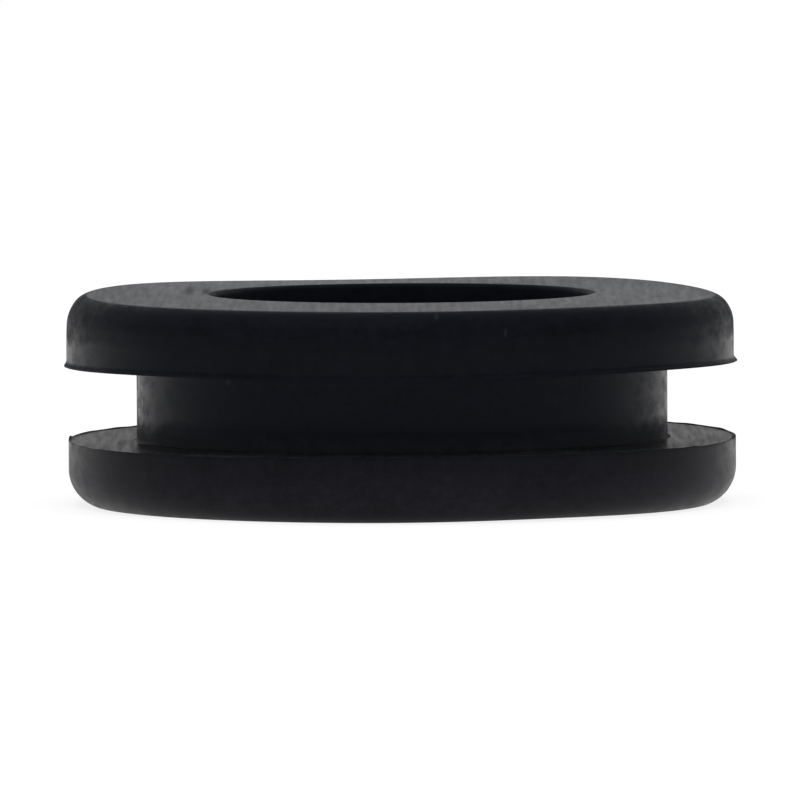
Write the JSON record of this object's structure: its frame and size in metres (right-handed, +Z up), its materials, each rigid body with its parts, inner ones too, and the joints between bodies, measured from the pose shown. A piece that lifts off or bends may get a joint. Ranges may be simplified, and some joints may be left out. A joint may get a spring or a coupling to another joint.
{
  "type": "rubber grommet",
  "caption": "Moulded rubber grommet: a ring with a groove between rounded flanges that grips the edge of a panel hole, and a smooth through bore for a cable.",
  "frame": {"origin": "centre of the lower flange's base, on the axis of the bore", "axes": "+Z up along the axis of the bore, from the lower flange to the upper flange; the ring is the same all the way round, so X and Y are free"},
  "size_m": [0.0282, 0.0282, 0.0089],
  "materials": {
    "rubber": "moulded matt black rubber with a faint grain"
  },
  "bodies": {
    "root": {"grommet": "rubber"}
  },
  "joints": []
}
